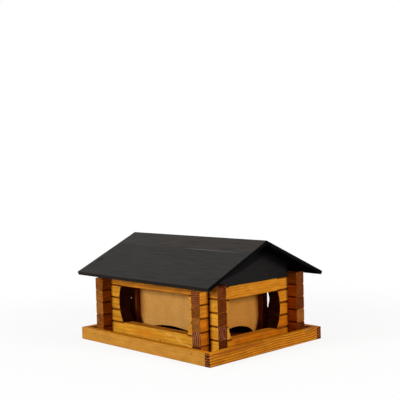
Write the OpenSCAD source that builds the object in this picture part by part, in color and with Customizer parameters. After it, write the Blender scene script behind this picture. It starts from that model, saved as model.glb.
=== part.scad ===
// Bird feeder built as a small log cabin: a tray with a rim, four walls of
// notched logs with a window in each, a seed hopper inside and a gable roof.
// Millimetres, +Z up. The origin is on the ground under the middle of the tray.
// X runs along the eaves and Y runs from the front eave to the back one.

/* [Tray] */
// Thickness of the tray floor
floor_t = 12; // [6:0.5:16]
// Height of the rim boards
rim_h = 20; // [18:0.5:40]
// Thickness of the rim boards
rim_t = 10; // [5:0.5:16]
// Play between the rim and the log ends
rim_play = 0.5; // [0.2:0.1:40]

/* [Log walls] */
// Length of the cabin between the outer faces of its gable walls
cabin_l = 250; // [200:1:400]
// Width of the cabin between the outer faces of its eave walls
cabin_w = 195; // [160:1:300]
// Height of one log
log_h = 20; // [16:0.5:26]
// Thickness of one log
log_t = 18.5; // [14:0.5:20]
// Length of the log ends that stand out past each corner
log_end = 18; // [8:0.5:30]
// Chamfer along the edges of a log
log_edge = 1.5; // [0.5:0.25:2.5]
// Height of the thinner log that starts each gable wall
starter_h = 12; // [8:0.5:14]

/* [Windows] */
// Least length of an eave wall beside its window, from the corner
eave_pier = 40.5; // [34:0.5:60]
// Least length of a gable wall beside its window, from the corner
gable_pier = 39; // [34:0.5:55]
// Radius of the bowed sides of the windows
bow_r = 69; // [60:1:200]
// Height of the widest part of a window above its middle
bow_rise = 4; // [0:0.5:8]
// Narrowing of each side of a window, from the outer face of its wall to the inner one
window_splay = 3.5; // [0:0.5:5]

/* [Roof] */
// Slope of the roof in degrees
roof_pitch = 24.5; // [15:0.5:35]
// Thickness of the roof boards
roof_t = 6; // [3:0.5:10]
// Distance of the ridge from the middle of the cabin, toward the front eave
ridge_shift = 3.5; // [0:0.5:6]
// Reach of the roof past the eave walls
eave_overhang = 31.5; // [22:0.5:45]
// Reach of the roof past the gable walls
gable_overhang = 31.5; // [20:0.5:45]
// Width of the upper board of each slope, from the ridge
upper_board_w = 38; // [20:1:90]
// Height of the upright front end of a gable board
gable_end_h = 25.5; // [20:0.5:40]
// Thickness of a gable board
gable_board_t = 10; // [5:0.5:14]
// Play between a gable board and the log ends beside it
gable_play = 0.5; // [0.2:0.1:1]

/* [Hopper] */
// Gap between the hopper posts and the gable walls
feed_gap_l = 15; // [6:0.5:30]
// Gap between the hopper posts and the eave walls
feed_gap_w = 11.5; // [6:0.5:25]
// Depth of the hopper's top below the top of the eave walls
hopper_drop = 6; // [1:0.5:30]
// Side of a square hopper post
post_s = 13; // [13:0.5:16]
// Thickness of a hopper panel
panel_t = 3; // [2:0.25:4]
// Depth of a panel's outer face behind the faces of the posts
panel_set = 8; // [4:0.25:8]
// Play between the end of a panel and the post that it is set into
panel_play = 0.2; // [0.1:0.05:0.4]
// Height of the seed arch in the foot of a panel
arch_h = 18; // [10:0.5:30]
// Width of the foot on each side of a seed arch
arch_leg = 13; // [8:0.5:25]

/* [Hidden] */

// Angles that turn a piece drawn for the front to its own side
FRONT = 0;
RIGHT = 90;
BACK = 180;
LEFT = 270;
PINE = "#c98a3c";
BLACK = "#2b2b2c";
HARDBOARD = "#b6813f";
// Extra length of a cutter past the face that it opens
over = 1;
// Straight steps along a seed arch
arch_steps = 24;

half_l = cabin_l / 2;
half_w = cabin_w / 2;
tray_l = cabin_l + 2 * (log_end + rim_play + rim_t);
tray_w = cabin_w + 2 * (log_end + rim_play + rim_t);
hopper_l = cabin_l - 2 * (log_t + feed_gap_l);
hopper_w = cabin_w - 2 * (log_t + feed_gap_w);
hopper_h = 5 * log_h - hopper_drop;

// Where logs cross, each one keeps half its height. Eave logs stand starter_h
// above the gable logs of the same course, so their notches differ.
neck_h = log_h / 2;
eave_notch_low = starter_h / 2;
eave_notch_high = neck_h - eave_notch_low;
gable_notch_low = neck_h - starter_h / 2;
gable_notch_high = starter_h / 2;
eave_top_z = floor_t + 4 * log_h;
gable_top_z = floor_t + starter_h + 3 * log_h;
splay_turn = atan(window_splay / log_t);
// Reach of the turned cutter of a window past both faces of a wall
bow_reach = bow_r * tan(splay_turn) + 2 * over;

// The gable boards stand on the gable walls and carry the roof boards
gable_base_z = gable_top_z + log_h;
gable_half = half_w - log_t - gable_play;
gable_peak_h = gable_end_h + (gable_half - ridge_shift) * tan(roof_pitch);
ridge_z = gable_base_z + gable_peak_h + roof_t / cos(roof_pitch);
roof_l = cabin_l + 2 * gable_overhang;
front_slope_l = (half_w + eave_overhang - ridge_shift) / cos(roof_pitch);
back_slope_l = (half_w + eave_overhang + ridge_shift) / cos(roof_pitch);

// Puts a piece drawn along X, with its outer face at y = 0, on one side of the cabin
module on_side(angle, reach, z) {
    rotate([0, 0, angle])
        translate([0, -reach, z])
            children();
}

module rim(length) {
    color(PINE)
        translate([-length / 2, 0, 0])
            cube([length - rim_t, rim_t, rim_h]);
}

// A length of log with chamfered edges, from x0 to x1
module log_bar(x0, x1, h) {
    translate([x0, 0, 0])
        rotate([90, 0, 90])
            linear_extrude(x1 - x0)
                polygon([[log_edge, 0], [log_t - log_edge, 0],
                    [log_t, log_edge], [log_t, h - log_edge],
                    [log_t - log_edge, h], [log_edge, h],
                    [0, h - log_edge], [0, log_edge]]);
}

// The notches of one corner, under and over a log of height h
module notch_pair(half, h, low, high) {
    translate([half - log_t, -over, 0]) {
        if (low > 0)
            translate([0, 0, -over])
                cube([log_t, log_t + 2 * over, low + over]);
        if (high > 0)
            translate([0, 0, h - high])
                cube([log_t, log_t + 2 * over, high + over]);
    }
}

// A log that runs the whole length of a wall and past both corners
module long_log(half, h, low, high) {
    color(PINE)
        difference() {
            log_bar(-half - log_end, half + log_end, h);
            notch_pair(half, h, low, high);
            mirror([1, 0, 0])
                notch_pair(half, h, low, high);
        }
}

// The two short logs of one course beside a window, whose sides bow outwards.
// A window is three courses high, from course 1 to course 3.
module stubs(half, pier, course, low, high) {
    bow_x = half - pier - bow_r;
    color(PINE)
        for (flip = [0, 1])
            mirror([flip, 0, 0])
                difference() {
                    log_bar(bow_x, half + log_end, log_h);
                    notch_pair(half, log_h, low, high);
                    translate([bow_x, 0, (2.5 - course) * log_h + bow_rise])
                        rotate([-90, 0, splay_turn])
                            translate([0, 0, -bow_reach])
                                cylinder(r = bow_r, h = log_t + 2 * bow_reach, $fn = 96);
                }
}

module eave_stubs(side, course) {
    on_side(side, half_w, floor_t + course * log_h)
        stubs(half_l, eave_pier, course, eave_notch_low, eave_notch_high);
}

module gable_stubs(side, course) {
    on_side(side, half_l, floor_t + starter_h + (course - 1) * log_h)
        stubs(half_w, gable_pier, course, gable_notch_low, gable_notch_high);
}

module eave_bottom_log(side) {
    on_side(side, half_w, floor_t)
        long_log(half_l, log_h, eave_notch_low, eave_notch_high);
}

module eave_top_log(side) {
    on_side(side, half_w, eave_top_z)
        long_log(half_l, log_h, eave_notch_low, 0);
}

module gable_bottom_log(side) {
    on_side(side, half_l, floor_t)
        long_log(half_w, starter_h, 0, gable_notch_high);
}

module gable_top_log(side) {
    on_side(side, half_l, gable_top_z)
        long_log(half_w, log_h, gable_notch_low, gable_notch_high);
}

// The black board over a gable wall, between the log ends, whose left face is at x
module gable_board(x) {
    back_end_h = gable_end_h - 2 * ridge_shift * tan(roof_pitch);
    color(BLACK)
        translate([x, 0, gable_base_z])
            rotate([90, 0, 90])
                linear_extrude(gable_board_t)
                    polygon([[-gable_half, 0], [gable_half, 0],
                        [gable_half, back_end_h], [-ridge_shift, gable_peak_h],
                        [-gable_half, gable_end_h]]);
}

// A point of a slope that is drawn for the front: s down from the ridge, d below its outer face
function slope_point(s, d) = [
    d * sin(roof_pitch) - s * cos(roof_pitch),
    -s * sin(roof_pitch) - d * cos(roof_pitch)
];

module roof_board(side, outline) {
    color(BLACK)
        translate([0, -ridge_shift, ridge_z])
            rotate([0, 0, side])
                rotate([90, 0, 90])
                    linear_extrude(roof_l, center = true)
                        polygon(outline);
}

// The upper boards meet in a mitre under the ridge
module roof_upper(side) {
    roof_board(side, [[0, 0], slope_point(upper_board_w, 0),
        slope_point(upper_board_w, roof_t), [0, -roof_t / cos(roof_pitch)]]);
}

module roof_lower(side, slope_l) {
    roof_board(side, [slope_point(upper_board_w, 0), slope_point(slope_l, 0),
        slope_point(slope_l, roof_t), slope_point(upper_board_w, roof_t)]);
}

// A hopper post, rebated on its inner side for the panels that meet at it
module post(flip_x, flip_y) {
    rebate_x = panel_set + panel_t;
    color(PINE)
        mirror([flip_x, 0, 0])
            mirror([0, flip_y, 0])
                translate([-hopper_l / 2, -hopper_w / 2, floor_t])
                    difference() {
                        cube([post_s, post_s, hopper_h]);
                        translate([rebate_x, panel_set, -over])
                            cube([post_s, post_s, hopper_h + 2 * over]);
                        translate([panel_set, rebate_x, -over])
                            cube([post_s, post_s, hopper_h + 2 * over]);
                    }
}

// A hopper panel between two posts, with an arch at its foot for the seed
module panel(side, length, reach) {
    width = length - 2 * (panel_set + panel_t + panel_play);
    arch_half = length / 2 - post_s - arch_leg;
    arch = [for (i = [0 : arch_steps])
        [arch_half * cos(180 * i / arch_steps), arch_h * sin(180 * i / arch_steps)]];
    color(HARDBOARD)
        on_side(side, reach - panel_set, floor_t)
            translate([0, panel_t, 0])
                rotate([90, 0, 0])
                    linear_extrude(panel_t)
                        difference() {
                            translate([-width / 2, 0])
                                square([width, hopper_h]);
                            polygon(concat([[arch_half, -over]], arch, [[-arch_half, -over]]));
                        }
}

module tray_floor() {
    color(PINE)
        translate([rim_t - tray_l / 2, rim_t - tray_w / 2, 0])
            cube([tray_l - 2 * rim_t, tray_w - 2 * rim_t, floor_t]);
}

tray_floor();
on_side(FRONT, tray_w / 2, 0) rim(tray_l);  // rim_front
on_side(BACK, tray_w / 2, 0) rim(tray_l);  // rim_back
on_side(LEFT, tray_l / 2, 0) rim(tray_w);  // rim_left
on_side(RIGHT, tray_l / 2, 0) rim(tray_w);  // rim_right

eave_bottom_log(FRONT);  // front_bottom_log
eave_stubs(FRONT, 1);  // front_stubs_low
eave_stubs(FRONT, 2);  // front_stubs_mid
eave_stubs(FRONT, 3);  // front_stubs_high
eave_top_log(FRONT);  // front_top_log

eave_bottom_log(BACK);  // back_bottom_log
eave_stubs(BACK, 1);  // back_stubs_low
eave_stubs(BACK, 2);  // back_stubs_mid
eave_stubs(BACK, 3);  // back_stubs_high
eave_top_log(BACK);  // back_top_log

gable_bottom_log(LEFT);  // left_bottom_log
gable_stubs(LEFT, 1);  // left_stubs_low
gable_stubs(LEFT, 2);  // left_stubs_mid
gable_stubs(LEFT, 3);  // left_stubs_high
gable_top_log(LEFT);  // left_top_log

gable_bottom_log(RIGHT);  // right_bottom_log
gable_stubs(RIGHT, 1);  // right_stubs_low
gable_stubs(RIGHT, 2);  // right_stubs_mid
gable_stubs(RIGHT, 3);  // right_stubs_high
gable_top_log(RIGHT);  // right_top_log

gable_board(-half_l);  // gable_board_left
gable_board(half_l - gable_board_t);  // gable_board_right
roof_upper(FRONT);  // roof_front_upper
roof_lower(FRONT, front_slope_l);  // roof_front_lower
roof_upper(BACK);  // roof_back_upper
roof_lower(BACK, back_slope_l);  // roof_back_lower

post(0, 0);  // post_front_left
post(1, 0);  // post_front_right
post(0, 1);  // post_back_left
post(1, 1);  // post_back_right
panel(FRONT, hopper_l, hopper_w / 2);  // panel_front
panel(BACK, hopper_l, hopper_w / 2);  // panel_back
panel(LEFT, hopper_w, hopper_l / 2);  // panel_left
panel(RIGHT, hopper_w, hopper_l / 2);  // panel_right
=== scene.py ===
# Log cabin bird feeder: the finish of every board and log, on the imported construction
import math
import random

import bmesh
import bpy
from mathutils import Matrix, Vector


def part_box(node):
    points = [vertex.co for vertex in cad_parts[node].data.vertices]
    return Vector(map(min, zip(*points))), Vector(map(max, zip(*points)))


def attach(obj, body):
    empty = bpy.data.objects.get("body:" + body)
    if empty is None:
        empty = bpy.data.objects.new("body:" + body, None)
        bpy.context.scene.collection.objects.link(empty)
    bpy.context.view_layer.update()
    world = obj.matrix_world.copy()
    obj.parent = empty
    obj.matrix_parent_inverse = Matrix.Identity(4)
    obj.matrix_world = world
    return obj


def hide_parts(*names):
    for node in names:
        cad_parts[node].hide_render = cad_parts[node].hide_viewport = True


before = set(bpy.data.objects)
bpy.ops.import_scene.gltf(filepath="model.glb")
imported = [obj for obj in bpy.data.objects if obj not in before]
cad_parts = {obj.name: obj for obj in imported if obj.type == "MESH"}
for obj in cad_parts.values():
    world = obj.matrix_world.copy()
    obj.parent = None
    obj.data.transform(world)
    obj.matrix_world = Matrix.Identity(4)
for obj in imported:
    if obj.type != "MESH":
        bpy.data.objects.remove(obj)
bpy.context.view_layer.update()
mm = 0.001          # lengths below are in millimetres unless a note says otherwise
hairline = 0.00001  # vertices nearer each other than this are one, metres
squareOn = 0.9      # a face whose normal has more than this of a direction looks that way
alongX, alongY, upright = 0, 1, 2  # which way the grain of a piece runs
mixUnder, mixOver, mixResult = 6, 7, 2  # colour sockets of a Mix node
waveGap = 0.314     # from ring to ring of a Wave texture whose scale is 1, metres
# where two walls meet outside, in plan
wallCorner = (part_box("right_stubs_mid")[1][0], -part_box("front_stubs_mid")[0][1], 0)


def toLinear(hexColour):
    # "#rrggbb" as seen on the board, to the values that the shaders take
    parts = [int(hexColour[i:i + 2], 16) / 255 for i in (1, 3, 5)]
    return [p / 12.92 if p <= 0.04045 else ((p + 0.055) / 1.055) ** 2.4 for p in parts] + [1.0]


def addNode(tree, kind, links=None, values=None, **settings):
    # one shader node, with its settings, socket values and incoming links
    node = tree.nodes.new(kind)
    for key, value in settings.items():
        setattr(node, key, value)
    for key, value in (values or {}).items():
        node.inputs[key].default_value = value
    for key, socket in (links or {}).items():
        tree.links.new(socket, node.inputs[key])
    return node


def addRamp(tree, factor, stops):
    # each stop is a place from 0 to 1 and the colour or the level of grey there
    ramp = addNode(tree, "ShaderNodeValToRGB", {"Fac": factor})
    elements = ramp.color_ramp.elements
    while len(elements) < len(stops):
        elements.new(1.0)
    for element, (position, colour) in zip(elements, stops):
        element.position = position
        element.color = toLinear(colour) if isinstance(colour, str) else [colour] * 3 + [1.0]
    return ramp.outputs["Color"]


def blendColours(tree, mode, amount, under, over):
    # amount is a number or a socket, and over is a colour or a socket
    node = addNode(tree, "ShaderNodeMix", {mixUnder: under}, data_type="RGBA", blend_type=mode)
    if isinstance(amount, float):
        node.inputs["Factor"].default_value = amount
    else:
        tree.links.new(amount, node.inputs["Factor"])
    if isinstance(over, str):
        node.inputs[mixOver].default_value = toLinear(over)
    else:
        tree.links.new(over, node.inputs[mixOver])
    return node.outputs[mixResult]


def vectorStep(tree, operation, vector, values=None, output="Vector"):
    step = addNode(tree, "ShaderNodeVectorMath", {0: vector}, values, operation=operation)
    return step.outputs[output]


def smoothRange(tree, value, start, end, low=0.0, high=1.0):
    # low at the start, high at the end, and an easy curve between them
    values = {"From Min": start, "From Max": end, "To Min": low, "To Max": high}
    fall = addNode(tree, "ShaderNodeMapRange", {"Value": value}, values,
                   interpolation_type="SMOOTHSTEP")
    return fall.outputs["Result"]


def objectPlace(tree):
    return addNode(tree, "ShaderNodeTexCoord").outputs["Object"]


def placeRound(tree, centre, turn, size=(1, 1, 1)):
    # coordinates round a place on the piece, given in millimetres, with the turn in degrees
    values = {"Location": [c * mm for c in centre], "Rotation": [math.radians(t) for t in turn],
              "Scale": size}
    mapping = addNode(tree, "ShaderNodeMapping", {"Vector": objectPlace(tree)}, values,
                      vector_type="TEXTURE")
    return mapping.outputs["Vector"]


def stretched(tree, vector, axis, amount):
    # draws a pattern out along the grain
    scale = [1.0, 1.0, 1.0]
    scale[axis] = 1 / amount
    mapping = addNode(tree, "ShaderNodeMapping", {"Vector": vector}, {"Scale": scale},
                      vector_type="POINT")
    return mapping.outputs["Vector"]


def noiseAt(tree, vector, gap, detail, roughness, output="Fac"):
    # gap is the size of one cloud, in millimetres
    values = {"Scale": 1 / (gap * mm), "Detail": detail, "Roughness": roughness}
    return addNode(tree, "ShaderNodeTexNoise", {"Vector": vector}, values).outputs[output]


def grainNoise(tree, place, axis, look, part, detail, roughness):
    # as fine and as long as the look says of that part
    drawnOut = stretched(tree, place, axis, look[part + "Length"])
    return noiseAt(tree, drawnOut, look[part + "Gap"], detail, roughness)


def shadeBy(tree, colour, noise, amount):
    # the noise, nearly all of it from 0.3 to 0.7, darkens and lightens the colour alike
    grey = addRamp(tree, noise, [(0.3, 0.5 - amount / 2), (0.7, 0.5 + amount / 2)])
    return blendColours(tree, "OVERLAY", 1.0, colour, grey)


def spotMask(tree, centre, radii, turn=(0, 0, 0), soft=0.35, amount=1.0):
    # the given amount in the middle of an oval mark, falling to 0 at its edge
    place = placeRound(tree, centre, turn, [r * mm for r in radii])
    away = vectorStep(tree, "LENGTH", place, output="Value")
    return smoothRange(tree, away, 1.0, soft, high=amount)


def addMarks(tree, colour, marks):
    for mark in marks:
        shape = {key: value for key, value in mark.items() if key != "colour"}
        colour = blendColours(tree, "MIX", spotMask(tree, **shape), colour, mark["colour"])
    return colour


def cornerMask(tree, reach):
    # 1 in the upright corners where two walls meet outside, 0 beyond the reach
    solidShare = 0.3  # of the reach
    fold = vectorStep(tree, "ABSOLUTE", objectPlace(tree))
    flat = vectorStep(tree, "MULTIPLY", fold, {1: (1, 1, 0)})
    away = vectorStep(tree, "DISTANCE", flat, {1: wallCorner}, "Value")
    return smoothRange(tree, away, reach * mm, solidShare * reach * mm)


# Stained pine, with lengths in millimetres. Any board may change any of it.
pineLook = {
    "heart": (0, 0, -30),  # a point on the line round which the rings grew
    "tilt": (0, 0, 0),     # degrees by which that line leaves the board's own
    "seed": 0.0,           # shifts the rings, so that no two boards match
    "ringGap": 4.5,        # from one growth ring to the next
    "ringWander": 2.0,     # how unevenly they grew
    "bend": 4.0,           # how far the figure strays sideways
    "bendGap": 30,
    "bendLength": 4,       # how much longer than wide one bend is
    "early": "#c98318",    # wide soft part of a ring
    "late": "#bb7413",     # narrow hard part
    "fibre": 0.13,         # light and dark of the fine fibres
    "fibreGap": 0.9,
    "fibreLength": 24,     # how much longer than wide, here and below
    "fleck": 0.10,         # dark short streaks of resin
    "fleckGap": 1.3,
    "fleckLength": 11,
    "blotch": 0.22,        # uneven stain
    "blotchGap": 9,
    "blotchLength": 2.5,
    "corner": None,        # how far painted shade reaches into the corners where two walls meet, if at all; its colour is below
    "cornerShade": "#3a1606",
    "roughness": 0.45,
    "specular": 0.05,
    "bump": 0.06,
    "bumpDepth": 0.4,
    "marks": (),           # oval spots of another colour
}
# The sawn ends drink the stain: soft wood goes dark, and the hard rings stay lighter
endLook = {
    "ringGap": 3.0,
    "ringWander": 0.8,
    "bend": 1.0,
    "bendGap": 9,
    "bendLength": 1,
    "ground": "#77400f",
    "ring": "#94602c",
    "pores": 0.22,
    "poreGap": 0.8,
    "soak": 0.3,           # uneven stain in the end
    "soakGap": 8,
    "roughness": 0.65,
    "specular": 0.02,
    "bump": 0.2,
    "bumpDepth": 0.3,
}


def heartPlace(tree, axis, look):
    # coordinates round the heart of the tree that the board came from, a little bent as trees are
    straight = placeRound(tree, look["heart"], look["tilt"])
    bend = noiseAt(tree, stretched(tree, straight, axis, look["bendLength"]), look["bendGap"],
                   detail=1.0, roughness=0.4, output="Color")
    centred = vectorStep(tree, "SUBTRACT", bend, {1: (0.5, 0.5, 0.5)})
    scaled = vectorStep(tree, "SCALE", centred, {"Scale": 2 * look["bend"] * mm})
    bent = addNode(tree, "ShaderNodeVectorMath", {0: straight, 1: scaled}, operation="ADD")
    return bent.outputs["Vector"]


def growthRings(tree, axis, place, look):
    values = {"Scale": waveGap / (look["ringGap"] * mm), "Distortion": look["ringWander"],
              "Detail": 2.0, "Detail Scale": 0.3, "Phase Offset": look["seed"]}
    rings = addNode(tree, "ShaderNodeTexWave", {"Vector": place}, values, wave_type="RINGS",
                    rings_direction="XYZ"[axis], wave_profile="SAW")
    return rings.outputs["Fac"]


def startMaterial(name, look):
    material = bpy.data.materials.new(name)
    material.use_nodes = True
    shader = material.node_tree.nodes["Principled BSDF"]
    shader.inputs["Roughness"].default_value = look["roughness"]
    shader.inputs["Specular IOR Level"].default_value = look["specular"]
    shader.inputs["Metallic"].default_value = look.get("metallic", 0.0)
    return material, material.node_tree


def closeMaterial(material, colour, relief, look):
    # the colour and the fine relief go into the shader
    tree = material.node_tree
    shader = tree.nodes["Principled BSDF"]
    bump = addNode(tree, "ShaderNodeBump", {"Height": relief},
                   {"Strength": look["bump"], "Distance": look["bumpDepth"] * mm})
    tree.links.new(colour, shader.inputs["Base Color"])
    tree.links.new(bump.outputs["Normal"], shader.inputs["Normal"])
    return material


def pineSide(name, axis, **changes):
    # stained and varnished pine, seen along the grain
    look = {**pineLook, **changes}
    early, late = look["early"], look["late"]
    material, tree = startMaterial(name, look)
    place = heartPlace(tree, axis, look)
    rings = growthRings(tree, axis, place, look)
    colour = addRamp(tree, rings, [(0.0, early), (0.35, early), (0.82, late), (0.93, late),
                                   (1.0, early)])  # each ring hardens slowly and ends at once
    fibre = grainNoise(tree, place, axis, look, "fibre", detail=6.0, roughness=0.8)
    colour = shadeBy(tree, colour, fibre, 2 * look["fibre"])
    blotch = grainNoise(tree, place, axis, look, "blotch", detail=3.0, roughness=0.55)
    colour = shadeBy(tree, colour, blotch, look["blotch"])
    fleck = grainNoise(tree, place, axis, look, "fleck", detail=1.0, roughness=0.5)
    fleckTone = addRamp(tree, fleck, [(0.60, 1.0), (0.72, 1.0 - look["fleck"])])
    colour = blendColours(tree, "MULTIPLY", 1.0, colour, fleckTone)
    colour = addMarks(tree, colour, look["marks"])
    if look["corner"]:
        # painted shade in the corners where two walls meet
        cornerShaded = cornerMask(tree, look["corner"])
        colour = blendColours(tree, "MIX", cornerShaded, colour, look["cornerShade"])
    return closeMaterial(material, colour, fibre, look)


def pineEnd(name, axis, **changes):
    # the sawn end of the same board
    look = {**pineLook, **endLook, **changes}
    ground, ring = look["ground"], look["ring"]
    material, tree = startMaterial(name, look)
    place = heartPlace(tree, axis, look)
    rings = growthRings(tree, axis, place, look)
    colour = addRamp(tree, rings, [(0.0, ground), (0.45, ground), (0.75, ring), (0.9, ring),
                                   (1.0, ground)])
    pores = noiseAt(tree, place, look["poreGap"], detail=3.0, roughness=0.6)
    colour = shadeBy(tree, colour, pores, 2 * look["pores"])
    soak = noiseAt(tree, place, look["soakGap"], detail=2.0, roughness=0.5)
    colour = shadeBy(tree, colour, soak, look["soak"])
    colour = addMarks(tree, colour, look["marks"])
    return closeMaterial(material, colour, pores, look)


def copyOfNode(nodeName, keep=None):
    # a merged copy of a node's mesh, all of it or the part on one side of the middle
    shape = bmesh.new()
    shape.from_mesh(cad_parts[nodeName].data)
    bmesh.ops.remove_doubles(shape, verts=shape.verts, dist=hairline)
    if keep:
        axis, side = keep
        beyond = [v for v in shape.verts if v.co[axis] * side < 0]
        bmesh.ops.delete(shape, geom=beyond, context="VERTS")
    flat = math.radians(0.5)  # the triangles of a flat face become one again
    bmesh.ops.dissolve_limit(shape, angle_limit=flat, verts=shape.verts, edges=shape.edges)
    return shape


def cutAcross(shape, place, facing):
    # edges all round where a flat cut would pass
    everything = shape.verts[:] + shape.edges[:] + shape.faces[:]
    bmesh.ops.bisect_plane(shape, geom=everything, dist=hairline, plane_co=place, plane_no=facing)


def sharpEdges(shape):
    sharp = math.radians(25)  # a bend of more than this is an arris
    return [e for e in shape.edges if e.is_manifold and e.calc_face_angle() > sharp]


def easeEdges(shape, width, edges=None):
    # takes the arrises off as a plane and sandpaper would, all of them or the ones given
    made = bmesh.ops.bevel(shape, geom=edges or sharpEdges(shape), offset=width * mm,
                           offset_type="OFFSET", segments=2, profile=0.5, affect="EDGES",
                           clamp_overlap=True, loop_slide=True, material=-1)
    rounded = set(made["faces"])
    for face in rounded:
        nearby = [other for edge in face.edges for other in edge.link_faces if other not in rounded]
        finishes = [other.material_index for other in nearby]
        face.material_index = max(finishes or [face.material_index])
        face.smooth = True


def markEnds(shape, axis):
    # faces across the grain get the second finish
    for face in shape.faces:
        if abs(face.normal[axis]) > squareOn:
            face.material_index = 1


def finishPiece(shape, name, materials, slot, *nodes):
    mesh = bpy.data.meshes.new(name)
    shape.normal_update()
    shape.to_mesh(mesh)
    shape.free()
    piece = bpy.data.objects.new(name, mesh)
    bpy.context.scene.collection.objects.link(piece)
    for material in materials:
        mesh.materials.append(material)
    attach(piece, "root")
    if nodes:
        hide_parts(*nodes)


def finishNode(node, name, arris, materials, slot):
    # a board that only needs its arrises eased
    shape = copyOfNode(node)
    easeEdges(shape, arris)
    finishPiece(shape, name, materials, slot, node)


def middle(low, high):
    return (low + high) / 2


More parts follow.
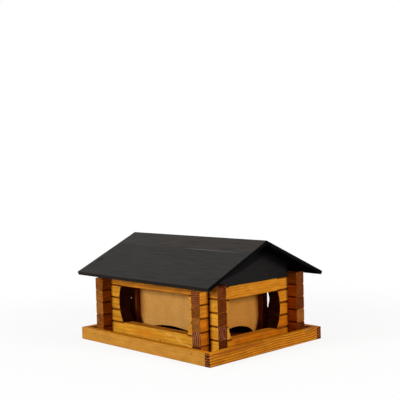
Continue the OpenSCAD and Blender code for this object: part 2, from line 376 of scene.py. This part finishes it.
# Logs
courses = ("bottom", "low", "mid", "high", "top")
walls = (("front", alongX), ("back", alongX), ("left", alongY), ("right", alongY))
endFinish, jambFinish, seamFinish, sillFinish = range(1, 5)  # materials of a log after its side's
logLook = {
    "arris": 0.3,          # rounding of every edge, mm
    "seed": 11,            # of the draws below
    "heartDrift": 14,      # most that the heart of the tree lies to one side of a log, mm
    "heartDepth": (6, 30),  # and how far above or below it
    "tiltDrift": 1.5,      # most that the grain leaves the log's own line, degrees
    "ringShift": 6,        # most that one log's rings are shifted from the next log's
    "corner": 2.0,         # painted shade along the corners where two walls meet, mm
    "windowSide": 95,      # cut faces nearer the middle than this are the sides of a window, mm
    "endFacing": 0.6,      # a face at least this square to the log is an end or a window's side
    "seamSlope": (0.3, 0.95),  # how level the faces of the grooves are, from 0 upright to 1 flat
    "stubTouch": 2,        # how near a long log a short one counts as touching it, mm
    "seamStart": 3,        # where a long log's grooves begin, from a window's side outwards, mm
    # how far the window side of a few short logs is off along the wall, mm, and how much it leans
    "resawn": {"left_a": (1.2, 0.0), "back_b": (3.0, 0.16)},
    "resawnLevel": 62,     # height at which a leaning side is off by just that much, mm
    "resawnClear": 30,     # what lies this near the corner stays as it is, mm
    "seam": {"early": "#7c410e", "late": "#6a340a", "fibre": 0.2, "specular": 0.0},
    "jamb": {"ground": "#331304", "ring": "#3f1e0c"},
    # the sill of the gable window is lighter than its log, as painted light on it
    "sills": {alongX: {"early": "#bc7420", "late": "#ae681a", "specular": 0.01},
              alongY: {"early": "#e28a26", "late": "#d67e1e", "specular": 0.01}},
    "sideTones": {
        "gold": {"early": "#cd8420", "late": "#be7516"},
        "ochre": {"early": "#bd7f22", "late": "#af7018"},
        "ember": {"early": "#be6b0d", "late": "#ae5f0a"},
        "rust": {"early": "#bc7620", "late": "#ab6516"},
        "umber": {"early": "#a85f0e", "late": "#98520a"},
        "honey": {"early": "#cc9029", "late": "#c18020"},
        "amber": {"early": "#c97a12", "late": "#ba6c0e"},
        "copper": {"early": "#d3700c", "late": "#c2640a"},
    },
    "endTones": {
        "pale": {"ground": "#80440f", "ring": "#9f6a30"},
        "mid": {"ground": "#6c340c", "ring": "#87521f"},
        "brown": {"ground": "#602b09", "ring": "#7a4319"},
        "dark": {"ground": "#552207", "ring": "#6f3a15"},
        "deep": {"ground": "#451904", "ring": "#5e2d0f"},
        "russet": {"ground": "#622a0f", "ring": "#7d4726"},
    },
    # tone of each log from the bottom course up, with a slash where the two short ones differ; the
    # darker tones of the left wall and of the top logs of front and back are painted shade, and the
    # right wall is darker towards the bottom
    "sides": {
        "front": "honey ochre/honey ochre/honey ochre/honey rust",
        "back": "amber copper copper copper umber",
        "left": "umber umber umber umber umber",
        "right": "ember ember ember/amber gold gold",
    },
    "ends": {
        "front": "deep russet dark dark dark",
        "back": "deep pale dark brown dark",
        "left": "mid mid pale pale mid",
        "right": "deep russet pale mid mid",
    },
    # figure of the long log under the front window, painted shadow of the roof and painted shade by
    # the rim, a painted highlight beside the gable window, a pale line down one arris and a lighter
    # patch
    "marks": {
        "front_bottom": (
            {"centre": (-22, -97.5, 22.5), "radii": (54, 6, 8), "turn": (0, 1, 0), "soft": 0.0,
             "colour": "#c87a18"},
            {"centre": (36, -97.5, 27.6), "radii": (19, 6, 2.4), "turn": (0, 5, 0), "soft": 0.0,
             "colour": "#dca548"},
            {"centre": (58, -97.5, 21.5), "radii": (16, 6, 4.2), "turn": (0, 34, 0), "soft": 0.0,
             "colour": "#dba244"},
            {"centre": (80, -97.5, 15.4), "radii": (20, 6, 2.4), "turn": (0, 9, 0), "soft": 0.0,
             "colour": "#dca548"},
            {"centre": (14.5, -97.5, 15), "radii": (3.4, 3, 1.5), "turn": (0, 8, 0), "soft": 0.3,
             "colour": "#6a340c"},
        ),
        # painted shade where the rim shades the foot of the near corner, then a lighter patch under
        # the gable window
        "right_bottom": (
            {"centre": (125, -108, 18), "radii": (5, 14, 12), "soft": 0.3, "amount": 0.7,
             "colour": "#8a430a"},
            {"centre": (125, -60, 18), "radii": (3, 22, 8), "soft": 0.2, "amount": 0.6,
             "colour": "#c88420"},
        ),
        # painted highlight on the face beside the gable window
        "right_low": (
            {"centre": (125, -66, 34), "radii": (3, 16, 16), "soft": 0.6, "colour": "#d19428"},
        ),
        # a pale line down the arris at the near corner, then painted shadow of the roof on the
        # log's top
        "front_top": (
            {"centre": (143.5, -97.5, 104), "radii": (1.3, 2, 9), "soft": 0.6, "colour": "#f0b45c"},
            {"centre": (134, -88, 112.4), "radii": (26, 20, 1.6), "soft": 0.5, "colour": "#200a03"},
        ),
        # painted shadow of the roof on the log's top at the far corner
        "back_top": (
            {"centre": (134, 88, 112.4), "radii": (26, 20, 1.6), "soft": 0.5, "colour": "#150602"},
        ),
    },
    # painted shadow of the eave on the top of the front top log's end at the near corner
    "endMarks": {
        "front_top": (
            {"centre": (143, -88, 113), "radii": (4, 16, 8), "soft": 0.3, "amount": 0.85,
             "colour": "#220a03"},
        ),
    },
    # ends that show their rings plainly: where the heart lies from the middle of the log, and more
    "figures": {
        "right_top": {"heart": (12, 0, -70), "ground": "#5c260b", "ring": "#8c522c", "ringGap": 3.1,
                      "ringWander": 4.0, "bend": 2.0},
        "right_mid": {"heart": (-30, 0, 8), "ringGap": 1.8},
        "right_low": {"heart": (34, 0, -6), "ring": "#96643e", "ringGap": 3.8, "ringWander": 2.5},
        "front_top": {"heart": (0, 26, 22), "ring": "#83451f", "ringGap": 3.4},
        "front_low": {"heart": (143, 3, -1), "tilt": (0, 62, 0), "ring": "#83503a", "ringGap": 3.6},
        "back_top": {"heart": (0, -9, 20), "ring": "#834b24", "ringGap": 3.6},
        "left_mid": {"heart": (6, 0, 60), "ring": "#a87434", "ringGap": 2.4},
    },
}


def windowEdge(wall, axis, course):
    # how near the middle of the wall the short logs come where they touch this long one
    nearest, outermost = ("low", min) if course == "bottom" else ("high", max)
    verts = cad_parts[f"{wall}_stubs_{nearest}"].data.vertices
    level = outermost(v.co.z for v in verts)
    return min(abs(v.co[axis]) for v in verts if abs(v.co.z - level) < logLook["stubTouch"] * mm)


def moveWindowSide(shape, wall, axis, side):
    # a few of the short logs were sawn off a little further out, or aslant
    shift, lean = logLook["resawn"].get(f"{wall}_" + ("a" if side < 0 else "b"), (0, 0))
    corner = abs(wallCorner[axis]) - logLook["resawnClear"] * mm
    for vert in shape.verts:
        if abs(vert.co[axis]) < corner:
            vert.co[axis] += shift * mm + lean * (vert.co.z - logLook["resawnLevel"] * mm)


def logShape(node, wall, axis, course, side):
    shape = copyOfNode(node, (axis, side) if side else None)
    edge = 0.0
    if not side:
        edge = windowEdge(wall, axis, course) + logLook["seamStart"] * mm
        across = Vector([float(i == axis) for i in range(3)])
        for reach in (-edge, edge):
            cutAcross(shape, across * reach, across)
    shape.normal_update()
    if side:
        moveWindowSide(shape, wall, axis, side)
    least, most = logLook["seamSlope"]
    for face in shape.faces:
        away = abs(face.calc_center_median()[axis])
        if abs(face.normal[axis]) > logLook["endFacing"]:
            face.material_index = endFinish if away > logLook["windowSide"] * mm else jambFinish
        elif least < abs(face.normal.z) < most and away > edge:
            face.material_index = seamFinish
        elif course == "bottom" and face.normal.z > most:
            face.material_index = sillFinish
    eased = [e for e in sharpEdges(shape)
             if all(face.material_index != jambFinish for face in e.link_faces)]
    easeEdges(shape, logLook["arris"], eased)
    return shape


def drawFigure(draw, node, key):
    # where in the tree the log grew, and what its end shows of that
    low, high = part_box(node)
    drift, tilt = logLook["heartDrift"], logLook["tiltDrift"]
    aside = [draw.uniform(-drift, drift), draw.uniform(-drift, drift),
             draw.choice((-1, 1)) * draw.uniform(*logLook["heartDepth"])]
    figure = dict(logLook["figures"].get(key, {}))
    aside = figure.pop("heart", aside)
    look = {"heart": [middle(low[i], high[i]) / mm + aside[i] for i in range(3)]}
    look["tilt"] = [draw.uniform(-tilt, tilt) for i in range(3)]
    look["seed"] = draw.uniform(0, logLook["ringShift"])
    look["corner"] = logLook["corner"]
    return look, figure


def sharedFinishes(axis):
    # the sides of the windows, the grooves, and the tops of the lowest logs
    letter = "XY"[axis]
    return [pineEnd(f"jamb_{letter}", axis, **logLook["jamb"]),
            pineSide(f"seam_{letter}", axis, **logLook["seam"]),
            pineSide(f"sill_{letter}", axis, **logLook["sills"][axis])]


def buildLogs():
    draw = random.Random(logLook["seed"])
    shared = {axis: sharedFinishes(axis) for axis in (alongX, alongY)}
    for wall, axis in walls:
        sideNames, endNames = logLook["sides"][wall].split(), logLook["ends"][wall].split()
        for course, sideName, endName in zip(courses, sideNames, endNames):
            key = f"{wall}_{course}"
            whole = course in ("bottom", "top")
            node = f"{wall}_{course}_log" if whole else f"{wall}_stubs_{course}"
            for side in (0,) if whole else (-1, 1):
                name = f"log_{key}" + {0: "", -1: "_a", 1: "_b"}[side]
                look, figure = drawFigure(draw, node, key)
                tone = logLook["sideTones"][sideName.split("/")[-1 if side > 0 else 0]]
                sideGrain = {**look, **tone, "marks": logLook["marks"].get(key, ())}
                endRings = {**look, **logLook["endTones"][endName], **figure,
                            "marks": logLook["endMarks"].get(key, ())}
                materials = [pineSide(name + "_side", axis, **sideGrain),
                             pineEnd(name + "_end", axis, **endRings), *shared[axis]]
                shape = logShape(node, wall, axis, course, side)
                finishPiece(shape, name, materials, "stained_pine", node)
    print("logs done")


# Tray
trayLook = {
    "arris": 0.7,          # of the rim boards, mm
    "floorArris": 0.5,
    "seed": 5,
    "heartDrift": 14,      # most that the heart of the tree lies to one side of a rim board, mm
    "heartDepth": (20, 60),  # and how far below it
    # painted shade on the floor under the cabin, and near black under the hopper
    "floor": {
        "heart": (0, 0, -80), "ringGap": 6, "specular": 0.0,
        "marks": (
            {"centre": (0, 0, 12), "radii": (138, 106, 9), "soft": 0.85, "colour": "#6a2a0e"},
            {"centre": (-45, 10, 12), "radii": (100, 82, 9), "soft": 0.5, "colour": "#070302"},
        ),
    },
    "top": {"early": "#d5881b", "late": "#c57716", "specular": 0.01},  # upper edges, lighter than the sides as painted light from above
    "end": {"ground": "#3a0f02", "ring": "#9c5c36", "ringGap": 3.8},
    "boards": {
        "front": {"early": "#be8331", "late": "#ba7d2c", "blotch": 0.12},
        "back": {"early": "#bb8229", "late": "#b07521"},
        "left": {"early": "#be7c1c", "late": "#a96a14"},
        "right": {
            "heart": (146, 0, -60), "tilt": (0.5, 0, 0), "ringGap": 3.8, "ringWander": 5.0,
            "bend": 3.0, "early": "#cb7f18", "late": "#8a4a08",
            "marks": (
                {"centre": (153.5, -62, 17.4), "radii": (3, 80, 4.4), "soft": 0.3, "amount": 0.85,
                 "colour": "#964c09"},
            ),
        },
    },
}


def buildTray():
    draw = random.Random(trayLook["seed"])
    drift = trayLook["heartDrift"]
    for wall, axis in walls:
        node = f"rim_{wall}"
        shape = copyOfNode(node)
        low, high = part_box(node)
        look = {"heart": [middle(low[i], high[i]) / mm for i in range(3)]}
        look["heart"][1 - axis] += draw.uniform(-drift, drift)
        look["heart"][2] -= draw.uniform(*trayLook["heartDepth"])
        look.update(trayLook["boards"][wall])
        endRings, topGrain = ({**look, **trayLook[part]} for part in ("end", "top"))
        markEnds(shape, axis)
        for face in shape.faces:
            if face.normal.z > squareOn:
                face.material_index = 2  # upper edge
        easeEdges(shape, trayLook["arris"])
        materials = [pineSide(node + "_side", axis, **look),
                     pineEnd(node + "_end", axis, **endRings),
                     pineSide(node + "_top", axis, **topGrain)]
        finishPiece(shape, f"tray_rim_{wall}", materials, "stained_pine", node)
    shape = copyOfNode("tray_floor")
    markEnds(shape, alongX)
    easeEdges(shape, trayLook["floorArris"])
    materials = [pineSide("tray_side", alongX, **trayLook["floor"]), pineEnd("tray_end", alongX)]
    finishPiece(shape, "tray_board", materials, "stained_pine", "tray_floor")
    print("tray done")


# Nails in the tray
nailLook = {
    "size": 1.9,           # across the head, mm
    "crown": 0.72,         # how much of that its top measures
    "proud": 0.25,         # how far the head stands out of the wood
    "boardLevels": (11.5, 15.5),  # heights of the two nails into the end of a rim board
    "gableLevel": 14,      # and of the one nail into the end of a bottom log
    "eaveLevel": 15,
    "steel": "#3a2a20",
    "worn": "#5a4636",
    "grimeGap": 0.7,
    "roughness": 0.5,
    "specular": 0.3,
    "metallic": 0.5,
    "bump": 0.2,
    "bumpDepth": 0.1,
}


def nailSteel():
    # small steel heads, browned by the stain that was wiped over them
    material, tree = startMaterial("nail_steel", nailLook)
    grime = noiseAt(tree, objectPlace(tree), nailLook["grimeGap"], detail=3.0, roughness=0.6)
    colour = addRamp(tree, grime, [(0.35, nailLook["steel"]), (0.65, nailLook["worn"])])
    return closeMaterial(material, colour, grime, nailLook)


def addNail(shape, place, outward):
    # a low domed head, with its rim just below the face of the board
    turn = Vector((0, 0, 1)).rotation_difference(Vector(outward)).to_matrix().to_4x4()
    radius, proud = nailLook["size"] / 2 * mm, nailLook["proud"] * mm
    made = bmesh.ops.create_cone(shape, cap_ends=True, segments=16, radius1=radius,
                                 radius2=radius * nailLook["crown"], depth=2 * proud,
                                 matrix=Matrix.Translation(place) @ turn)
    for vert in made["verts"]:
        for face in vert.link_faces:
            face.smooth = True


def nailPlaces():
    # two into the end of the next board at each corner, and one into the end of each log behind
    low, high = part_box("rim_front")[0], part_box("rim_back")[1]
    inset = middle(low[1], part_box("rim_front")[1][1]) - low[1]
    front, right = low[1], high[0]
    gable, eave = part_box("right_bottom_log"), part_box("front_bottom_log")
    places = []
    for level in nailLook["boardLevels"]:
        places.append((Vector((-right + inset, front, level * mm)), (0, -1, 0)))
        places.append((Vector((right, front + inset, level * mm)), (1, 0, 0)))
    for side in (-1, 1):
        gableX, eaveY = middle(gable[0][0], gable[1][0]), middle(eave[0][1], eave[1][1])
        places.append((Vector((side * gableX, front, nailLook["gableLevel"] * mm)), (0, -1, 0)))
        places.append((Vector((right, side * eaveY, nailLook["eaveLevel"] * mm)), (1, 0, 0)))
    return places


def buildNails():
    shape = bmesh.new()
    opposite = Matrix.Rotation(math.pi, 3, "Z")
    for place, outward in nailPlaces():
        addNail(shape, place, outward)
        addNail(shape, opposite @ place, opposite @ Vector(outward))
    finishPiece(shape, "tray_nails", [nailSteel()], "stained_pine")
    print("nails done")


# Roof
roofLook = {
    "arris": 0.5,          # of all its boards, mm
    "seed": 3,
    "grainShift": 50,      # most that the grain of one board is shifted from the next
    "facing": 0.8,         # how squarely an underside looks down, and an eave's edge outwards
    "upper": {"stain": "#191614", "worn": "#38332f", "specular": 0.05},
    "lower": {"stain": "#121110", "worn": "#302e2c", "specular": 0.05},
    "edge": {"stain": "#0c0b0c", "worn": "#131213", "specular": 0.0},
    "eave": {"stain": "#1c1816", "worn": "#25201d", "specular": 0.02},
    "gable": {
        "stain": "#121111", "worn": "#1c1b1b", "specular": 0.04,
        # a knot, then painted shadow of the overhang under the slopes and painted shade in the peak
        "marks": (
            {"centre": (125, 29, 113.4), "radii": (3, 3.4, 2.6), "amount": 0.4,
             "colour": "#4a2a20"},
            {"centre": (125, 5, 167.6), "radii": (40, 115, 30.5), "turn": (24.5, 0, 0), "soft": 0.9,
             "colour": "#020202"},
            {"centre": (125, 10, 156), "radii": (40, 44, 30), "soft": 0.0, "amount": 0.9,
             "colour": "#020203"},
        ),
    },
    # on the front lower board: stain worn thin at one end, a painted highlight along the arris of
    # the joint in two places, and painted shade inside a split
    "marks": (
        {"centre": (-118, -84, 133), "radii": (120, 80, 60), "soft": 0.0, "amount": 0.5,
         "colour": "#1d150e"},
        # painted highlight along the arris of the joint
        {"centre": (76, -39.2, 154.0), "radii": (74, 1.4, 2.0), "turn": (24.5, 0, 0), "soft": 0.6,
         "colour": "#58504b"},
        {"centre": (-74, -39.2, 154.0), "radii": (60, 1.2, 2.0), "turn": (24.5, 0, 0), "soft": 0.2,
         "amount": 0.5, "colour": "#4c4541"},
        # painted shade inside the split
        {"centre": (-142, -90.4, 130.7), "radii": (2.6, 9, 5), "turn": (24.5, 0, -20), "soft": 0.5,
         "colour": "#020202"},
    ),
    "split": {"from": (-145.2, -98.5, 127.0), "to": (-139.6, -83.4, 133.9),
              "normal": (0, -0.415, 0.91), "width": 4.2, "depth": 4.5},
}
# Black stain that lets a little of the grain through
stainLook = {
    "fibreGap": 1.6,       # mm
    "fibreLength": 26,     # how much longer than wide, as for the clouds
    "cloud": 0.14,         # light and dark of the clouds
    "cloudGap": 22,
    "cloudLength": 3,
    "seed": 0.0,           # shifts the grain
    "roughness": 0.5,
    "specular": 0.05,
    "bump": 0.25,
    "bumpDepth": 0.4,
    "marks": (),
}


def blackStain(name, axis, **changes):
    look = {**stainLook, **changes}
    material, tree = startMaterial(name, look)
    shift = addNode(tree, "ShaderNodeMapping", {"Vector": objectPlace(tree)},
                    {"Location": (look["seed"], look["seed"], 0)}, vector_type="POINT")
    place = shift.outputs["Vector"]
    fibre = grainNoise(tree, place, axis, look, "fibre", detail=4.0, roughness=0.65)
    cloud = grainNoise(tree, place, axis, look, "cloud", detail=2.0, roughness=0.5)
    colour = addRamp(tree, fibre, [(0.32, look["stain"]), (0.72, look["worn"])])
    colour = shadeBy(tree, colour, cloud, look["cloud"])
    colour = addMarks(tree, colour, look["marks"])
    return closeMaterial(material, colour, fibre, look)


def cutSplit(shape, split):
    # a short V-shaped split in the upper face of a board
    start, end = Vector(split["from"]) * mm, Vector(split["to"]) * mm
    normal = Vector(split["normal"]).normalized()
    centre = (start + end) / 2
    along = (end - start).normalized()
    across = normal.cross(along).normalized()
    beside = across * split["width"] * mm / 2
    for place in (start, centre, end):
        cutAcross(shape, place, along)
    for step in (-beside, Vector(), beside):
        cutAcross(shape, centre + step, across)
    # only the vertex where the two middle cuts cross on the upper face goes down
    flatReach, deepReach = 0.1 * mm, 0.4 * mm
    for vert in shape.verts:
        aside = vert.co - centre
        flat = max(abs(aside.dot(along)), abs(aside.dot(across)))
        if flat < flatReach and abs(aside.dot(normal)) < deepReach:
            vert.co -= normal * split["depth"] * mm
            bmesh.ops.triangulate(shape, faces=vert.link_faces[:])


def buildRoof():
    draw = random.Random(roofLook["seed"])
    edge, eave = (blackStain(f"roof_{part}", alongX, **roofLook[part]) for part in ("edge", "eave"))
    for slope in ("front", "back"):
        for part in ("upper", "lower"):
            node = f"roof_{slope}_{part}"
            shape = copyOfNode(node)
            for face in shape.faces:
                if abs(face.normal.x) > squareOn or face.normal.z < -roofLook["facing"]:
                    face.material_index = 1  # ends and underside
                elif abs(face.normal.y) > roofLook["facing"]:
                    face.material_index = 2  # along the eave
            easeEdges(shape, roofLook["arris"])
            marks = ()
            if (slope, part) == ("front", "lower"):
                marks = roofLook["marks"]
                cutSplit(shape, roofLook["split"])
            seed = draw.uniform(0, roofLook["grainShift"])
            top = blackStain(node, alongX, **roofLook[part], seed=seed, marks=marks)
            finishPiece(shape, f"roof_board_{slope}_{part}", [top, edge, eave], "black_boards",
                        node)
    for side in ("left", "right"):
        node = f"gable_board_{side}"
        stain = blackStain(node, alongY, **roofLook["gable"])
        finishNode(node, f"gable_{side}", roofLook["arris"], [stain], "black_boards")
    print("roof done")


# Hopper
hopperLook = {
    "postArris": 0.4,      # mm
    "boardArris": 0.2,
    "post": {"early": "#7a3f10", "late": "#68300b"},
    # painted shade at the edges of two of the boards, beside the posts and along the floor
    "boards": {
        "front": {
            "marks": (
                {"centre": (-81, -59.5, 60), "radii": (21, 4, 75), "soft": 0.0, "amount": 0.9,
                 "colour": "#74380e"},
            ),
        },
        "back": {},
        "left": {},
        "right": {
            "pale": "#c98d41", "dark": "#aa712a",
            "marks": (
                {"centre": (83.5, 57, 60), "radii": (4, 16, 75), "soft": 0.0, "amount": 0.7,
                 "colour": "#a4500e"},
                {"centre": (83.5, 0, 14), "radii": (4, 75, 26), "soft": 0.0, "amount": 0.7,
                 "colour": "#a05812"},
            ),
        },
    },
}
hardboardLook = {
    "pale": "#c9954f",
    "dark": "#aa7734",
    "feltGap": 2.6,        # size of one tuft of the pressed fibre, mm
    "cloud": 0.08,         # light and dark of the clouds
    "cloudGap": 20,
    "roughness": 0.7,
    "specular": 0.03,
    "bump": 0.1,
    "bumpDepth": 0.3,
    "marks": (),
}


def hardboard(name, **changes):
    look = {**hardboardLook, **changes}
    material, tree = startMaterial(name, look)
    place = objectPlace(tree)
    felt = noiseAt(tree, place, look["feltGap"], detail=6.0, roughness=0.8)
    cloud = noiseAt(tree, place, look["cloudGap"], detail=2.0, roughness=0.5)
    colour = addRamp(tree, felt, [(0.3, look["dark"]), (0.7, look["pale"])])
    colour = shadeBy(tree, colour, cloud, look["cloud"])
    colour = addMarks(tree, colour, look["marks"])
    return closeMaterial(material, colour, felt, look)


def buildHopper():
    for side, changes in hopperLook["boards"].items():
        node = f"panel_{side}"
        board = hardboard(f"hardboard_{side}", **changes)
        finishNode(node, f"hopper_{node}", hopperLook["boardArris"], [board], "hardboard")
    for corner in ("front_left", "front_right", "back_left", "back_right"):
        node = f"post_{corner}"
        pine = pineSide(node, upright, **hopperLook["post"])
        finishNode(node, f"hopper_{node}", hopperLook["postArris"], [pine], "stained_pine")
    print("hopper done")


# Studio, in metres and watts
studioLook = {
    "softboxes": {
        "left": {"place": (-0.41, -2.15, 0.76), "size": 0.62, "power": 48.5,
                 "colour": (1, 1, 1)},
        "right": {"place": (2.15, 0.41, 0.76), "size": 0.62, "power": 41.0,
                  "colour": (1, 0.95, 0.90)},
        "top": {"place": (0.0, 0.0, 1.90), "size": 1.0, "power": 9.0, "colour": (1, 1, 1)},
    },
    "aim": (0, 0, 0.06),   # where they all point
    "world": 0.02,         # strength of the light from all round
    "floorSize": 6.0,      # from the middle to a side
    "floorGrey": 0.35,     # how much light the floor sends back up
    "glow": 0.86,          # how much of the floor's white is its own near the feeder
    "glowStart": 0.15,     # how far from the middle that share begins to grow
    "glowReach": 0.75,     # and where it is the whole
}


def addSoftbox(name, look):
    light = bpy.data.lights.new(name, "AREA")
    light.shape = "SQUARE"
    light.size = look["size"]
    light.energy = look["power"]
    light.color = look["colour"]
    box = bpy.data.objects.new(name, light)
    bpy.context.scene.collection.objects.link(box)
    box.location = look["place"]
    towards = Vector(studioLook["aim"]) - box.location
    box.rotation_euler = towards.to_track_quat("-Z", "Y").to_euler()


def seenShare(tree):
    # 1 for what the camera sees straight, in gloss or through glass, and 0 for light that fills
    path = addNode(tree, "ShaderNodeLightPath").outputs
    direct = addNode(tree, "ShaderNodeMath", {0: path["Is Camera Ray"], 1: path["Is Glossy Ray"]},
                     operation="ADD").outputs["Value"]
    total = addNode(tree, "ShaderNodeMath", {0: direct, 1: path["Is Transmission Ray"]},
                    operation="ADD", use_clamp=True)
    return total.outputs["Value"]


def mixShaders(tree, share, under, over):
    return addNode(tree, "ShaderNodeMixShader", {"Fac": share, 1: under, 2: over}).outputs["Shader"]


def floorMaterial():
    # plain white card: grey to the light that it sends up, white to the eye, with its shadow
    material = bpy.data.materials.new("studio_floor")
    material.use_nodes = True
    tree = material.node_tree
    filling = tree.nodes["Principled BSDF"]
    filling.inputs["Base Color"].default_value = [studioLook["floorGrey"]] * 3 + [1]
    filling.inputs["Roughness"].default_value = 1.0
    filling.inputs["Specular IOR Level"].default_value = 0.0
    card = addNode(tree, "ShaderNodeBsdfDiffuse", values={"Color": (1, 1, 1, 1)}).outputs["BSDF"]
    glow = addNode(tree, "ShaderNodeEmission", values={"Strength": 1.0}).outputs["Emission"]
    away = vectorStep(tree, "LENGTH", objectPlace(tree), output="Value")
    share = smoothRange(tree, away, studioLook["glowStart"], studioLook["glowReach"],
                        studioLook["glow"])
    seen = mixShaders(tree, share, card, glow)
    surface = mixShaders(tree, seenShare(tree), filling.outputs["BSDF"], seen)
    tree.links.new(surface, tree.nodes["Material Output"].inputs["Surface"])
    return material


def buildStudio():
    for side, look in studioLook["softboxes"].items():
        addSoftbox(f"softbox_{side}", look)
    world = bpy.data.worlds.new("studio")
    bpy.context.scene.world = world
    world.use_nodes = True
    tree = world.node_tree
    filling = tree.nodes["Background"]
    filling.inputs["Color"].default_value = (1, 1, 1, 1)
    filling.inputs["Strength"].default_value = studioLook["world"]
    seen = addNode(tree, "ShaderNodeBackground", values={"Color": (1, 1, 1, 1), "Strength": 1.0})
    light = mixShaders(tree, seenShare(tree), filling.outputs["Background"],
                       seen.outputs["Background"])
    tree.links.new(light, tree.nodes["World Output"].inputs["Surface"])

    shape = bmesh.new()
    bmesh.ops.create_grid(shape, x_segments=1, y_segments=1, size=studioLook["floorSize"])
    mesh = bpy.data.meshes.new("studio_floor")
    shape.to_mesh(mesh)
    shape.free()
    floor = bpy.data.objects.new("studio_floor", mesh)
    bpy.context.scene.collection.objects.link(floor)
    mesh.materials.append(floorMaterial())
    bpy.context.scene.view_settings.view_transform = "Standard"
    print("studio done")


# Camera
cameraLook = {
    "place": (0.9643, -0.9105, 0.2851),  # metres
    "yaw": 46.34,          # degrees, as are the next two
    "down": 2.44,
    "roll": -1.54,
    "lens": 72.93,         # mm
    "clip": (0.05, 30),    # nearest and furthest that it sees, metres
}


def buildCamera():
    yaw, down, roll = (math.radians(cameraLook[k]) for k in ("yaw", "down", "roll"))
    lens = bpy.data.cameras.new("camera")
    lens.lens = cameraLook["lens"]
    lens.clip_start, lens.clip_end = cameraLook["clip"]
    camera = bpy.data.objects.new("camera", lens)
    bpy.context.scene.collection.objects.link(camera)
    turn = Matrix.Rotation(yaw, 4, "Z")
    turn = turn @ Matrix.Rotation(math.pi / 2 - down, 4, "X") @ Matrix.Rotation(roll, 4, "Z")
    camera.matrix_world = Matrix.Translation(cameraLook["place"]) @ turn
    bpy.context.scene.camera = camera
    print("camera done")


buildCamera()
buildTray()
buildNails()
buildLogs()
buildRoof()
buildHopper()
buildStudio()
